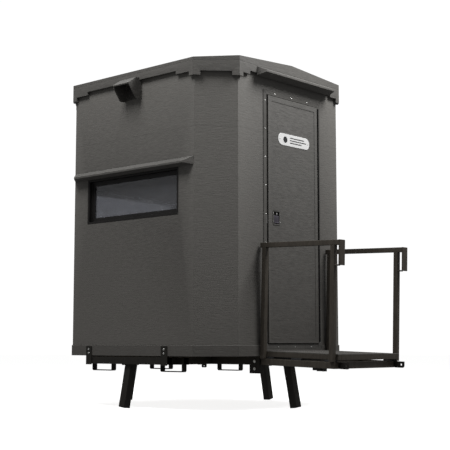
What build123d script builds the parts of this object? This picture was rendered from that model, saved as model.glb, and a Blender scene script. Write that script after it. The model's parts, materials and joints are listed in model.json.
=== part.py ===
from build123d import *
from math import atan2, cos, degrees, radians, sin, sqrt, tan
import os

os.makedirs("parts", exist_ok=True)

# Row frame: +Z up, the door faces -Y, the porch stands in front of it.
# The cabin's own centre and the top of its base trim, seen from the row's origin.
CABIN_X = 40.0
CABIN_Y = 377.231
TRIM_Z = 517.028

# Cabin plan: a rectangle with four 45 degree corners.
WIDTH = 1829.0
DEPTH = 1951.0
CORNER = 249.0
HALF_X = WIDTH / 2
HALF_Y = DEPTH / 2
FLAT_X = HALF_X - CORNER
FLAT_Y = HALF_Y - CORNER
CORNER_REACH = (HALF_X + FLAT_Y) / sqrt(2)
CORNER_LENGTH = CORNER * sqrt(2)
CORNER_SHIFT = (HALF_Y - HALF_X) / sqrt(2)
SEAM = 0.3

# Wall build-up, outside in.
SKIN = 6.0
CORE = 30.0
LINER = 4.0
WALL = SKIN + CORE + LINER
WALL_LOW = -84.0
WALL_HIGH = 2276.0
WALL_TALL = WALL_HIGH - WALL_LOW

# Base trim and floor.
TRIM_TALL = 89.0
TRIM_OUT = 8.0
FLOOR_TOP = -22.0
MAT = 6.0

# Roof: flat eaves with a low gable over the door side.
EAVE_OUT = 29.0
FASCIA_THICK = 22.0
EAVE_TOP = 2304.0
RIDGE_TOP = 2365.0
FASCIA_MAIN = 2217.0
FASCIA_STEP = 2189.0
FASCIA_BLOCK = 2155.0
STEP_START = 545.0
BLOCK_FLAT = 46.0
BLOCK_CORNER = 60.0

# Windows on the left, right and back walls.
WINDOW_LONG = 1108.0
WINDOW_TALL = 390.0
WINDOW_MID = 1238.0
FRAME_BAR = 18.0
FRAME_DEEP = 50.0
FRAME_SET = 2.0
STOP_DEEP = 6.0
STOP_BAR = 28.0
SASH_GAP = 5.0
SASH_BAR = 32.0
SASH_DEEP = 22.0
SASH_SET = 36.0
PANE_THICK = 5.0
ROD_R = 4.0
KNUCKLE_R = 7.0
ROD_SET = SASH_SET + SASH_DEEP + 6.0
ROD_DROP = 4.0
CAP_LONG = 1462.0
CAP_OUT = 70.0
CAP_MITRE = 62.0
CAP_TOP = 1503.0
CAP_TALL = 70.0
CAP_FALL = 40.0
CAP_LIP = 16.0

# Rain cap over the door, on the fascia.
AWNING_HALF = 493.0
AWNING_MITRE = 27.0
AWNING_OUT = 111.0
AWNING_TOP = 2272.0
AWNING_TALL = 76.0
AWNING_FALL = 36.0
AWNING_LIP = 18.0

# Vent hood on the left wall.
HOOD_MID = -18.0
HOOD_WIDE = 198.0
HOOD_SHEET = 4.0

# Door opening, frame and slab.
DOOR_LEFT = -313.0
DOOR_RIGHT = 375.0
DOOR_LOW = 10.0
DOOR_HIGH = 2068.0
DOOR_MID = (DOOR_LEFT + DOOR_RIGHT) / 2
DOOR_WIDE = DOOR_RIGHT - DOOR_LEFT
DOOR_TALL = DOOR_HIGH - DOOR_LOW
DOOR_CENTRE = (DOOR_LOW + DOOR_HIGH) / 2
JAMB = 6.0
FLANGE = 40.0
FLANGE_THICK = 5.0
JAMB_DEEP = 46.0
DOOR_STOP = 16.0
SLAB_LEFT = -302.0
SLAB_RIGHT = 369.0
SLAB_LOW = 16.0
SLAB_HIGH = 2062.0
SLAB_MID = (SLAB_LEFT + SLAB_RIGHT) / 2
SLAB_WIDE = SLAB_RIGHT - SLAB_LEFT
SLAB_CENTRE = (SLAB_LOW + SLAB_HIGH) / 2
SLAB_TALL = SLAB_HIGH - SLAB_LOW
SLAB_PROUD = 14.0
SLAB_THICK = 40.0
BORDER = 44.0
PANEL_SINK = 3.0
HINGE_X = 372.0
HINGE_OUT = 20.5
HINGE_R = 6.0
HINGE_PIN_R = 2.5
HINGE_KNUCKLES = 13
HINGE_PITCH = 156.0
HINGE_LEAF = 36.0
FIT = 0.05

# Latch in the slab.
DISH_X = -198.0
DISH_Z = 1045.0
DISH_WIDE = 96.0
DISH_TALL = 126.0
PAN_WIDE = 72.0
PAN_TALL = 102.0
PAN_DEEP = 24.0
PADDLE_PIN_Z = DISH_Z + 14.0
NOSE_Z = DISH_Z - 20.0

# Name plate.
PLATE_X = 41.0
PLATE_Z = 1718.0
PLATE_LONG = 424.0
PLATE_TALL = 100.0

# Tower head.
BEAM = 60.0
BEAM_WALL = 3.0
BEAM_TOP = -97.0
BEAM_MID = BEAM_TOP - BEAM / 2
BEAM_LOW = BEAM_TOP - BEAM
HEAD_Y = 42.0
HEAD_HALF = 455.0
SIDE_BAR_HALF = 490.0
PORCH_BEAM_HALF = 443.0
LEG = 70.0
LEG_WALL = 5.0
LEG_SPLAY = 11.3
LEG_LENGTH = 352.0
LEG_PLATE = 8.0
STRAP_WIDE = 50.0
STRAP_THICK = 8.0
STRAP_LOOP = 252.0
STRAP_DROP = 60.0
STRAP_LANE = 419.0
STRAP_NEAR = -782.0
STRAP_FAR = -90.0

# Porch, tilted slightly so that rain runs off it.
PORCH_TILT = 1.8
PORCH_X = 43.0
POST = 40.0
POST_WALL = 3.0
RAIL_HALF = 458.5
RAIL_TOP = 823.0
INNER_POST = -32.0
OUTER_POST = -711.0
POST_FOOT = -105.8
RAIL_BACK = 8.0
PLATE_FACE = -792.0
PLATE_THICK = 12.0
PLATE_WIDE = 72.0
PLATE_FOOT = 628.0
TUBE = 51.0
TUBE_TOP = -106.0
FRAME_HALF = 438.0
FRAME_FRONT = -732.0
FRAME_BACK = -5.0
DECK_HALF = 417.5
DECK_FRONT = -753.0
DECK_BACK = -12.0
DECK_TOP = -50.0
DECK_TALL = 40.0
GRATE_THICK = 6.0
LUG_THICK = 12.0
LUG_REACH = 96.0
LUG_HOLE_R = 9.0
LUG_HOLE_BACK = 27.0
BRACKET_X = 57.0
BRACKET_Y = 105.0
BRACKET_TOP = -104.0
BRACKET_TALL = 122.0
BRACKET_THICK = 8.0


def spot(x, y, z=0.0):
    """A point of the cabin, in the row frame."""
    return (CABIN_X + x, CABIN_Y + y, TRIM_Z + z)


def level(z):
    """A horizontal plane over the cabin's centre."""
    return Plane(origin=spot(0, 0, z))


def side(angle, reach, z=0.0):
    """An upright plane facing away from the cabin at this angle, with its X along the wall."""
    turn = radians(angle)
    return Plane(
        origin=spot(reach * cos(turn), reach * sin(turn), z),
        x_dir=(-sin(turn), cos(turn), 0),
        z_dir=(cos(turn), sin(turn), 0),
    )


# The four flat sides, by the direction each faces: angle, distance out, half of its flat length.
LEFT = (180, HALF_X, FLAT_Y)
RIGHT = (0, HALF_X, FLAT_Y)
BACK = (90, HALF_Y, FLAT_X)
FRONT = (-90, HALF_Y, FLAT_X)
SIDES = {"left": LEFT, "right": RIGHT, "back": BACK, "front": FRONT}
WINDOW_SIDES = ["left", "right", "back"]

# The four 45 degree corners: angle and the shift of the facet's middle along the wall.
CORNERS = [(45, CORNER_SHIFT), (135, -CORNER_SHIFT), (-135, CORNER_SHIFT), (-45, -CORNER_SHIFT)]

# The porch's own tilted plane: X along the wall, Y back towards it, Z nearly up.
LEAN = radians(PORCH_TILT)
PORCH = Plane(
    origin=spot(PORCH_X, -HALF_Y, 0),
    x_dir=(1, 0, 0),
    z_dir=(0, -sin(LEAN), cos(LEAN)),
)


def octagon(sketch, grow):
    """The cabin's plan, grown outwards by this much, in the sketch that is open."""
    Rectangle(WIDTH + 2 * grow, DEPTH + 2 * grow)
    chamfer(sketch.vertices(), length=CORNER + (2 - sqrt(2)) * grow)


def edges_of_plan():
    """Where the plan's eight upright edges stand, each turned along its mitre."""
    spots = []
    for sx in (-1, 1):
        for sy in (-1, 1):
            for x, y, turn in ((HALF_X, FLAT_Y, 22.5), (FLAT_X, HALF_Y, 67.5)):
                angle = degrees(atan2(sy * sin(radians(turn)), sx * cos(radians(turn))))
                spots.append(Location((sx * x, sy * y, 0), (0, 0, angle)))
    return spots


def finish(part, name):
    """Label a finished piece and write its STEP."""
    part.label = name
    export_step(part, "parts/" + name + ".step")


# The openings through the walls: side, left and right edge along it, low and high edge.
DOOR_HOLE = (DOOR_LEFT - JAMB - 0.5, DOOR_RIGHT + JAMB + 0.5, DOOR_LOW - JAMB - 0.5, DOOR_HIGH + JAMB + 0.5)
WINDOW_HOLE = (
    -WINDOW_LONG / 2,
    WINDOW_LONG / 2,
    WINDOW_MID - WINDOW_TALL / 2,
    WINDOW_MID + WINDOW_TALL / 2,
)
HOLES = {"front": DOOR_HOLE, "left": WINDOW_HOLE, "right": WINDOW_HOLE, "back": WINDOW_HOLE}

# ---------------------------------------------------------------- walls

with BuildPart() as wall_skins:
    with BuildSketch(level(WALL_LOW)) as outer:
        octagon(outer, 0)
    extrude(amount=WALL_TALL)
    with BuildSketch(level(WALL_LOW)) as inner:
        octagon(inner, -SKIN)
    extrude(amount=WALL_TALL, mode=Mode.SUBTRACT)
    for name, (angle, reach, half) in SIDES.items():
        x0, x1, z0, z1 = HOLES[name]
        with BuildSketch(side(angle, reach - WALL)):
            with Locations(((x0 + x1) / 2, (z0 + z1) / 2)):
                Rectangle(x1 - x0, z1 - z0)
        extrude(amount=2 * WALL, mode=Mode.SUBTRACT)
    with BuildSketch(level(WALL_LOW)):
        with Locations(*edges_of_plan()):
            Rectangle(80, SEAM)
    extrude(amount=WALL_TALL, mode=Mode.SUBTRACT)
finish(wall_skins.part, "wall_skins")

# The foam core stands in upright blocks around the openings.
with BuildPart() as wall_core:
    with BuildSketch(level(WALL_LOW)) as outer:
        octagon(outer, -SKIN - 0.2)
    extrude(amount=WALL_TALL)
    with BuildSketch(level(WALL_LOW)) as inner:
        octagon(inner, 0.2 - SKIN - CORE)
    extrude(amount=WALL_TALL, mode=Mode.SUBTRACT)
    for name, (angle, reach, half) in SIDES.items():
        x0, x1, z0, z1 = HOLES[name]
        with BuildSketch(side(angle, reach - 2 * WALL)):
            with Locations(((x0 + x1) / 2, (z0 + z1) / 2)):
                Rectangle(x1 - x0, z1 - z0)
            with Locations((x0, 1096), (x1, 1096)):
                Rectangle(SEAM, WALL_TALL + 10)
        extrude(amount=3 * WALL, mode=Mode.SUBTRACT)
    with BuildSketch(level(WALL_LOW)):
        with Locations(*edges_of_plan()):
            Rectangle(160, SEAM)
    extrude(amount=WALL_TALL, mode=Mode.SUBTRACT)
finish(wall_core.part, "wall_core")

LINER_LOW = FLOOR_TOP
LINER_HIGH = 2240.0
with BuildPart() as wall_liner:
    with BuildSketch(level(LINER_LOW)) as outer:
        octagon(outer, -(SKIN + CORE))
    extrude(amount=LINER_HIGH - LINER_LOW)
    with BuildSketch(level(LINER_LOW)) as inner:
        octagon(inner, -WALL)
    extrude(amount=LINER_HIGH - LINER_LOW, mode=Mode.SUBTRACT)
    for name in WINDOW_SIDES:
        angle, reach, half = SIDES[name]
        with BuildSketch(side(angle, reach - 2 * WALL)):
            with Locations((0, WINDOW_MID)):
                Rectangle(WINDOW_LONG, WINDOW_TALL)
        extrude(amount=2 * WALL, mode=Mode.SUBTRACT)
    with BuildSketch(side(-90, HALF_Y - 2 * WALL)):
        with Locations((DOOR_MID, DOOR_CENTRE)):
            Rectangle(DOOR_WIDE + 2 * JAMB + 1, DOOR_TALL + 2 * JAMB + 1)
    extrude(amount=2 * WALL, mode=Mode.SUBTRACT)
finish(wall_liner.part, "wall_liner")

# ---------------------------------------------------------------- floor, trim, roof

with BuildPart() as floor_panel:
    with BuildSketch(level(WALL_LOW)) as plan:
        octagon(plan, -(SKIN + CORE + 1))
    extrude(amount=FLOOR_TOP - WALL_LOW)
finish(floor_panel.part, "floor_panel")

with BuildPart() as floor_mat:
    with BuildSketch(level(FLOOR_TOP)) as plan:
        octagon(plan, -(WALL + 2))
    extrude(amount=MAT)
finish(floor_mat.part, "floor_mat")

with BuildPart() as base_trim:
    with BuildSketch(level(-TRIM_TALL)) as outer:
        octagon(outer, TRIM_OUT)
    extrude(amount=TRIM_TALL)
    with BuildSketch(level(-TRIM_TALL)) as inner:
        octagon(inner, 0.2)
    extrude(amount=TRIM_TALL, mode=Mode.SUBTRACT)
    with BuildSketch(side(-90, HALF_Y)):
        with Locations((DOOR_MID, 0)):
            Rectangle(DOOR_WIDE + 2 * FLANGE + 2, 64)
    extrude(amount=2 * TRIM_OUT, mode=Mode.SUBTRACT)
    with BuildSketch(level(-TRIM_TALL)):
        with Locations(*edges_of_plan()):
            Rectangle(80, SEAM)
    extrude(amount=TRIM_TALL, mode=Mode.SUBTRACT)
finish(base_trim.part, "base_trim")

def gable(drop):
    """The roof's front outline, this far inside its outer faces, in the sketch that is open."""
    reach = HALF_X + EAVE_OUT + 1
    with BuildLine() as outline:
        Polyline(
            (-reach, WALL_HIGH),
            (reach, WALL_HIGH),
            (reach, EAVE_TOP - drop),
            (0, RIDGE_TOP - drop),
            (-reach, EAVE_TOP - drop),
            close=True,
        )
    make_face(outline.line.edges())


ROOF_SKIN = 8.0
with BuildPart() as roof_core:
    with BuildSketch(level(WALL_HIGH + 2)) as plan:
        octagon(plan, EAVE_OUT - ROOF_SKIN - 0.2)
    extrude(amount=RIDGE_TOP - WALL_HIGH)
    with BuildSketch(side(-90, -HALF_Y - 60)):
        gable(ROOF_SKIN + 0.2)
    extrude(amount=DEPTH + 120, mode=Mode.INTERSECT)
finish(roof_core.part, "roof_core")

with BuildPart() as roof_shell:
    with BuildSketch(level(WALL_HIGH + 2)) as plan:
        octagon(plan, EAVE_OUT)
    extrude(amount=RIDGE_TOP - WALL_HIGH)
    with BuildSketch(side(-90, -HALF_Y - 60)):
        gable(0)
    extrude(amount=DEPTH + 120, mode=Mode.INTERSECT)
    with BuildPart(mode=Mode.SUBTRACT):
        with BuildSketch(level(WALL_HIGH + 2)) as plan:
            octagon(plan, EAVE_OUT - ROOF_SKIN)
        extrude(amount=RIDGE_TOP - WALL_HIGH)
        with BuildSketch(side(-90, -HALF_Y - 60)):
            gable(ROOF_SKIN)
        extrude(amount=DEPTH + 120, mode=Mode.INTERSECT)
finish(roof_shell.part, "roof_shell")

with BuildPart() as fascia:
    with BuildSketch(level(FASCIA_BLOCK)) as outer:
        octagon(outer, EAVE_OUT)
    extrude(amount=WALL_HIGH + 2 - FASCIA_BLOCK)
    with BuildSketch(level(FASCIA_BLOCK)) as inner:
        octagon(inner, EAVE_OUT - FASCIA_THICK)
    extrude(amount=WALL_HIGH + 2 - FASCIA_BLOCK, mode=Mode.SUBTRACT)
    for angle, reach, half in (LEFT, FRONT):
        eave_half = half + EAVE_OUT * tan(radians(22.5))
        step_half = min(STEP_START, half - 120)
        for cut_half, cut_top in ((step_half, FASCIA_MAIN), (eave_half - BLOCK_FLAT, FASCIA_STEP)):
            with BuildSketch(side(angle, -reach - 60)):
                with Locations((0, (FASCIA_BLOCK + cut_top) / 2)):
                    Rectangle(2 * cut_half, cut_top - FASCIA_BLOCK)
            extrude(amount=2 * reach + 120, mode=Mode.SUBTRACT)
    for angle, shift in CORNERS:
        with BuildSketch(side(angle, CORNER_REACH - 60)):
            with Locations((shift, (FASCIA_BLOCK + FASCIA_STEP) / 2)):
                Rectangle(CORNER_LENGTH - 2 * BLOCK_CORNER + 24, FASCIA_STEP - FASCIA_BLOCK)
        extrude(amount=120, mode=Mode.SUBTRACT)
    with BuildSketch(level(FASCIA_BLOCK)):
        with Locations(*edges_of_plan()):
            Rectangle(160, SEAM)
    extrude(amount=WALL_HIGH - FASCIA_BLOCK + 2, mode=Mode.SUBTRACT)
finish(fascia.part, "fascia")

with BuildPart() as ceiling_liner:
    with BuildSketch(level(LINER_HIGH)) as plan:
        octagon(plan, -(SKIN + CORE + 1))
    extrude(amount=WALL_HIGH - LINER_HIGH)
finish(ceiling_liner.part, "ceiling_panel")

# ---------------------------------------------------------------- vent hood and rain caps

# The hood's side outline: distance out from the wall, height.
HOOD_OUTLINE = [
    (0.3, 2057),
    (67, 2052),
    (140, 2146),
    (150, 2176),
    (72, 2231),
    (EAVE_OUT + 0.3, 2240),
    (EAVE_OUT + 0.3, FASCIA_MAIN - 1),
    (0.3, FASCIA_MAIN - 1),
]
HOOD_HOLLOW = [
    (0.3 - HOOD_SHEET, 2040),
    (67, 2040),
    (148, 2144),
    (146, 2170),
    (70, 2224),
    (EAVE_OUT + HOOD_SHEET, 2228),
    (EAVE_OUT + HOOD_SHEET, FASCIA_MAIN - 6),
    (0.3 - HOOD_SHEET, FASCIA_MAIN - 6),
]


def across_left(along):
    """An upright plane square to the left wall: X runs out from the wall, Y is up."""
    return Plane(origin=spot(-HALF_X, along, 0), x_dir=(-1, 0, 0), z_dir=(0, 1, 0))


with BuildPart() as vent_hood:
    with BuildSketch(across_left(HOOD_MID - HOOD_WIDE / 2)):
        with BuildLine():
            Polyline(*HOOD_OUTLINE, close=True)
        make_face()
    extrude(amount=HOOD_WIDE)
    with BuildSketch(across_left(HOOD_MID - HOOD_WIDE / 2 + HOOD_SHEET)):
        with BuildLine():
            Polyline(*HOOD_HOLLOW, close=True)
        make_face()
    extrude(amount=HOOD_WIDE - 2 * HOOD_SHEET, mode=Mode.SUBTRACT)
finish(vent_hood.part, "vent_hood")

with BuildPart() as vent_screen:
    with BuildSketch(side(180, HALF_X + 0.3)):
        with Locations((-HOOD_MID, 2132)):
            Rectangle(HOOD_WIDE - 2 * HOOD_SHEET - 8, 130)
            with GridLocations(17, 15, 10, 8):
                Rectangle(12, 10, mode=Mode.SUBTRACT)
    extrude(amount=2)
finish(vent_screen.part, "vent_screen")

with BuildPart() as window_caps:
    for name in WINDOW_SIDES:
        angle, reach, half = SIDES[name]
        length = min(CAP_LONG, 2 * half - 4)
        with BuildSketch(side(angle, reach + 0.2)):
            with Locations((0, CAP_TOP - CAP_TALL / 2)):
                Rectangle(length, CAP_TALL)
        with BuildSketch(side(angle, reach + CAP_OUT)):
            with Locations((0, CAP_TOP - CAP_FALL - CAP_LIP / 2)):
                Rectangle(length - 2 * CAP_MITRE, CAP_LIP)
        loft()
finish(window_caps.part, "window_caps")

with BuildPart() as door_awning:
    with BuildSketch(side(-90, HALF_Y + EAVE_OUT + 0.2)):
        with Locations((DOOR_MID, AWNING_TOP - AWNING_TALL / 2)):
            Rectangle(2 * AWNING_HALF, AWNING_TALL)
    with BuildSketch(side(-90, HALF_Y + AWNING_OUT)):
        with Locations((DOOR_MID, AWNING_TOP - AWNING_FALL - AWNING_LIP / 2)):
            Rectangle(2 * (AWNING_HALF - AWNING_MITRE), AWNING_LIP)
    loft()
finish(door_awning.part, "door_awning")

# ---------------------------------------------------------------- windows


def mitred_ring(plane, wide, tall, bar, deep):
    """A rectangular ring of four bars, sawn apart at its mitres, in the part that is open."""
    with BuildSketch(plane) as ring:
        Rectangle(wide, tall)
        Rectangle(wide - 2 * bar, tall - 2 * bar, mode=Mode.SUBTRACT)
        for sx in (-1, 1):
            for sy in (-1, 1):
                corner = Location((sx * (wide - bar) / 2, sy * (tall - bar) / 2, 0), (0, 0, sx * sy * 45))
                with Locations(corner):
                    Rectangle(3 * bar, SEAM, mode=Mode.SUBTRACT)
    extrude(ring.sketch, amount=deep)


with BuildPart() as window_frames:
    for name in WINDOW_SIDES:
        angle, reach, half = SIDES[name]
        bars = side(angle, reach - FRAME_SET - FRAME_DEEP, WINDOW_MID)
        mitred_ring(bars, WINDOW_LONG - 1, WINDOW_TALL - 1, FRAME_BAR, FRAME_DEEP)
        stops = side(angle, reach - SASH_SET + 0.8, WINDOW_MID)
        inside_x = WINDOW_LONG - 1 - 2 * FRAME_BAR - 0.4
        inside_z = WINDOW_TALL - 1 - 2 * FRAME_BAR - 0.4
        mitred_ring(stops, inside_x, inside_z, STOP_BAR - FRAME_BAR, STOP_DEEP)
finish(window_frames.part, "window_frames")

SASH_LONG = WINDOW_LONG - 2 * FRAME_BAR - 2 * SASH_GAP
SASH_TALL = WINDOW_TALL - 2 * FRAME_BAR - 2 * SASH_GAP
ROD_Z = WINDOW_MID + SASH_TALL / 2 - ROD_DROP
ROD_LONG = SASH_LONG + 2 * SASH_GAP + 12
KNUCKLE_LONG = 60.0
KNUCKLE_AT = (-400.0, 0.0, 400.0)
BUTTON_Z = WINDOW_MID - WINDOW_TALL / 2 + FRAME_BAR / 2
BUTTON_REACH = 38.0
BUTTON_LOW = SASH_SET + SASH_DEEP + 0.6
POST_R = 3.0


def rod_plane(angle, reach, along):
    """A plane square to a window's pivot rod: X points out of the cabin, Z along the wall."""
    wall = side(angle, reach - ROD_SET, ROD_Z)
    return Plane(origin=wall.origin + wall.x_dir * along, x_dir=wall.z_dir, z_dir=wall.x_dir)


for name in WINDOW_SIDES:
    angle, reach, half = SIDES[name]
    ring = side(angle, reach - SASH_SET - SASH_DEEP, WINDOW_MID)
    with BuildPart() as sash:
        mitred_ring(ring, SASH_LONG, SASH_TALL, SASH_BAR, SASH_DEEP)
        # A groove for the pane runs round the inside of the ring.
        with BuildSketch(ring.offset(SASH_DEEP / 2 - PANE_THICK / 2 - 0.3)):
            Rectangle(SASH_LONG - 2 * SASH_BAR + 20, SASH_TALL - 2 * SASH_BAR + 20)
        extrude(amount=PANE_THICK + 0.6, mode=Mode.SUBTRACT)
        for along in KNUCKLE_AT:
            with BuildSketch(rod_plane(angle, reach, along - KNUCKLE_LONG / 2)):
                Circle(KNUCKLE_R)
                Circle(ROD_R + FIT, mode=Mode.SUBTRACT)
                with Locations((KNUCKLE_R, 0)):
                    Rectangle(2 * (KNUCKLE_R - 5.8), 2 * KNUCKLE_R, mode=Mode.SUBTRACT)
            extrude(amount=KNUCKLE_LONG)
    finish(sash.part, "sash_" + name)

    with BuildPart() as pane:
        with BuildSketch(ring.offset(SASH_DEEP / 2 - PANE_THICK / 2)):
            Rectangle(SASH_LONG - 2 * SASH_BAR + 18, SASH_TALL - 2 * SASH_BAR + 18)
        extrude(amount=PANE_THICK)
    finish(pane.part, "pane_" + name)

    # A turn button on the frame's sill bar, stored lying along the sill.
    with BuildPart() as button:
        with BuildSketch(side(angle, reach - BUTTON_LOW - 5, BUTTON_Z)):
            with Locations((BUTTON_REACH / 2 - 4, 0)):
                SlotOverall(BUTTON_REACH + 8, 14)
            Circle(POST_R + FIT, mode=Mode.SUBTRACT)
        extrude(amount=5)
    finish(button.part, "button_" + name)

with BuildPart() as window_hardware:
    for name in WINDOW_SIDES:
        angle, reach, half = SIDES[name]
        with BuildSketch(rod_plane(angle, reach, -ROD_LONG / 2)):
            Circle(ROD_R)
        extrude(amount=ROD_LONG)
        for end in (-1, 1):
            with BuildSketch(rod_plane(angle, reach, end * (ROD_LONG / 2 + 4) - 4)):
                with Locations((1.9, 0)):
                    Rectangle(19.5, 20)
            extrude(amount=8)
        with BuildSketch(side(angle, reach - BUTTON_LOW - 9, BUTTON_Z)):
            Circle(2 * POST_R)
        extrude(amount=3.5)
        with BuildSketch(side(angle, reach - BUTTON_LOW - 7, BUTTON_Z)):
            Circle(POST_R)
        extrude(amount=BUTTON_LOW + 7 - FRAME_SET - FRAME_DEEP - 0.2)
finish(window_hardware.part, "window_hardware")

# ---------------------------------------------------------------- door


def door_plane(out, z=0.0):
    """An upright plane facing the porch, this far out from the front wall, over the cabin's centre."""
    return side(-90, HALF_Y + out, z)


def door_corner_cuts():
    """Mitre saw lines through the door frame's four corners."""
    spots = []
    for sx in (-1, 1):
        for sz in (-1, 1):
            x = DOOR_MID + sx * (DOOR_WIDE / 2 + 12)
            z = DOOR_CENTRE + sz * (DOOR_TALL / 2 + 12)
            spots.append(Location((x, z, 0), (0, 0, sx * sz * 45)))
    return spots


with BuildPart() as door_frame:
    with BuildSketch(door_plane(0.2)):
        with Locations((DOOR_MID, DOOR_CENTRE)):
            Rectangle(DOOR_WIDE + 2 * FLANGE, DOOR_TALL + 2 * FLANGE)
            Rectangle(DOOR_WIDE, DOOR_TALL, mode=Mode.SUBTRACT)
    extrude(amount=FLANGE_THICK)
    with BuildSketch(door_plane(-JAMB_DEEP)):
        with Locations((DOOR_MID, DOOR_CENTRE)):
            Rectangle(DOOR_WIDE + 2 * JAMB, DOOR_TALL + 2 * JAMB)
            Rectangle(DOOR_WIDE, DOOR_TALL, mode=Mode.SUBTRACT)
    extrude(amount=JAMB_DEEP + 1)
    with BuildSketch(door_plane(-JAMB_DEEP)):
        with Locations((DOOR_MID, DOOR_CENTRE)):
            Rectangle(DOOR_WIDE - 0.4, DOOR_TALL - 0.4)
            Rectangle(DOOR_WIDE - 2 * DOOR_STOP, DOOR_TALL - 2 * DOOR_STOP, mode=Mode.SUBTRACT)
    extrude(amount=6)
    with BuildSketch(door_plane(-JAMB_DEEP - 1)):
        with Locations(*door_corner_cuts()):
            Rectangle(120, SEAM)
    extrude(amount=JAMB_DEEP + FLANGE_THICK + 3, mode=Mode.SUBTRACT)
finish(door_frame.part, "door_frame")

SCREW_TOP = [(x, DOOR_HIGH + 18) for x in (-205, 19, 237)]
SCREW_LOW = [(x, DOOR_LOW - 25) for x in (-173, 47, 270)]
SCREW_LEFT = [(DOOR_LEFT - 15, 124 + 236 * i) for i in range(9)]
SCREW_RIGHT = [(DOOR_RIGHT + 22, 70 + 236 * i) for i in range(9)]
with BuildPart() as frame_screws:
    with BuildSketch(door_plane(0.4 + FLANGE_THICK)):
        with Locations(*SCREW_TOP, *SCREW_LOW, *SCREW_LEFT, *SCREW_RIGHT):
            Circle(5.5)
    extrude(amount=2.5)
finish(frame_screws.part, "frame_screws")

with BuildPart() as door_seal:
    with BuildSketch(door_plane(6.2 - JAMB_DEEP)):
        with Locations((DOOR_MID, DOOR_CENTRE)):
            Rectangle(DOOR_WIDE - 8, DOOR_TALL - 8)
            Rectangle(DOOR_WIDE - 2 * DOOR_STOP, DOOR_TALL - 2 * DOOR_STOP, mode=Mode.SUBTRACT)
    extrude(amount=12)
finish(door_seal.part, "door_seal")

# The latch rod runs from the pan to the slab's edge in a bore through the slab.
ROD_SLOT_X = SLAB_LEFT + 44.0
ROD_SLOT_LONG = 30.0
SLAB_CORE_Y = -HALF_Y - SLAB_PROUD + SLAB_THICK / 2
PAN_EDGE_X = DISH_X - PAN_WIDE / 2 - 2


def latch_plane(x):
    """An upright plane square to the latch rod's line, facing +X."""
    return Plane(origin=spot(x, SLAB_CORE_Y, NOSE_Z), x_dir=(0, 1, 0), z_dir=(1, 0, 0))


with BuildPart() as door_slab:
    with BuildSketch(door_plane(SLAB_PROUD - SLAB_THICK)):
        with Locations((SLAB_MID, SLAB_CENTRE)):
            Rectangle(SLAB_WIDE, SLAB_TALL)
    extrude(amount=SLAB_THICK)
    with BuildSketch(door_plane(SLAB_PROUD - PANEL_SINK)):
        with Locations((SLAB_MID, SLAB_CENTRE)):
            Rectangle(SLAB_WIDE - 2 * BORDER, SLAB_TALL - 2 * BORDER)
    extrude(amount=PANEL_SINK, mode=Mode.SUBTRACT)
    with BuildSketch(door_plane(SLAB_PROUD - PAN_DEEP - 2)):
        with Locations((DISH_X, DISH_Z)):
            Rectangle(PAN_WIDE + 4.4, PAN_TALL + 4.4)
    extrude(amount=PAN_DEEP + 2, mode=Mode.SUBTRACT)
    with BuildSketch(latch_plane(SLAB_LEFT - 1)):
        Rectangle(15, 27)
    extrude(amount=PAN_EDGE_X - SLAB_LEFT, mode=Mode.SUBTRACT)
    with BuildSketch(door_plane(SLAB_PROUD - SLAB_THICK - 1)):
        with Locations((ROD_SLOT_X + 5, NOSE_Z)):
            SlotOverall(ROD_SLOT_LONG, 14)
    extrude(amount=SLAB_THICK / 2, mode=Mode.SUBTRACT)
finish(door_slab.part, "door_slab")

with BuildPart() as door_skin:
    with BuildSketch(door_plane(SLAB_PROUD - SLAB_THICK - 2.2)):
        with Locations((SLAB_MID, SLAB_CENTRE)):
            Rectangle(SLAB_WIDE - 60, SLAB_TALL - 60)
        with Locations((ROD_SLOT_X + 5, NOSE_Z)):
            SlotOverall(ROD_SLOT_LONG, 14, mode=Mode.SUBTRACT)
    extrude(amount=2)
finish(door_skin.part, "door_skin")

HINGE = Plane(origin=spot(HINGE_X, -HALF_Y - HINGE_OUT, SLAB_CENTRE))
HINGE_START = -HINGE_KNUCKLES * HINGE_PITCH / 2


def hinge_strip(first, leaf_x):
    """Every second knuckle of the continuous hinge from this one on, each with its piece of leaf."""
    for count in range(first, HINGE_KNUCKLES, 2):
        with BuildSketch(HINGE.offset(HINGE_START + count * HINGE_PITCH + 0.3)) as knuckle:
            with Locations((leaf_x, HINGE_LEAF / 2 + 1)):
                Rectangle(1.6, HINGE_LEAF)
            Circle(HINGE_R)
            Circle(HINGE_PIN_R + FIT, mode=Mode.SUBTRACT)
        extrude(knuckle.sketch, amount=HINGE_PITCH - 0.6)


with BuildPart() as hinge_door_leaf:
    hinge_strip(1, -2.0)
finish(hinge_door_leaf.part, "hinge_door_leaf")

with BuildPart() as hinge_frame_leaf:
    hinge_strip(0, 2.0)
finish(hinge_frame_leaf.part, "hinge_frame_leaf")

with BuildPart() as hinge_pin:
    with BuildSketch(HINGE.offset(HINGE_START - 3)):
        Circle(HINGE_PIN_R)
    extrude(amount=HINGE_KNUCKLES * HINGE_PITCH + 6)
finish(hinge_pin.part, "hinge_pin")

PANEL_FACE = SLAB_PROUD - PANEL_SINK
with BuildPart() as name_plate:
    with BuildSketch(door_plane(PANEL_FACE + 0.2)):
        with Locations((PLATE_X, PLATE_Z)):
            SlotOverall(PLATE_LONG, PLATE_TALL)
    extrude(amount=3)
    chamfer(name_plate.faces().sort_by(Axis.Y)[0].edges(), length=1)
finish(name_plate.part, "name_plate")

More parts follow.
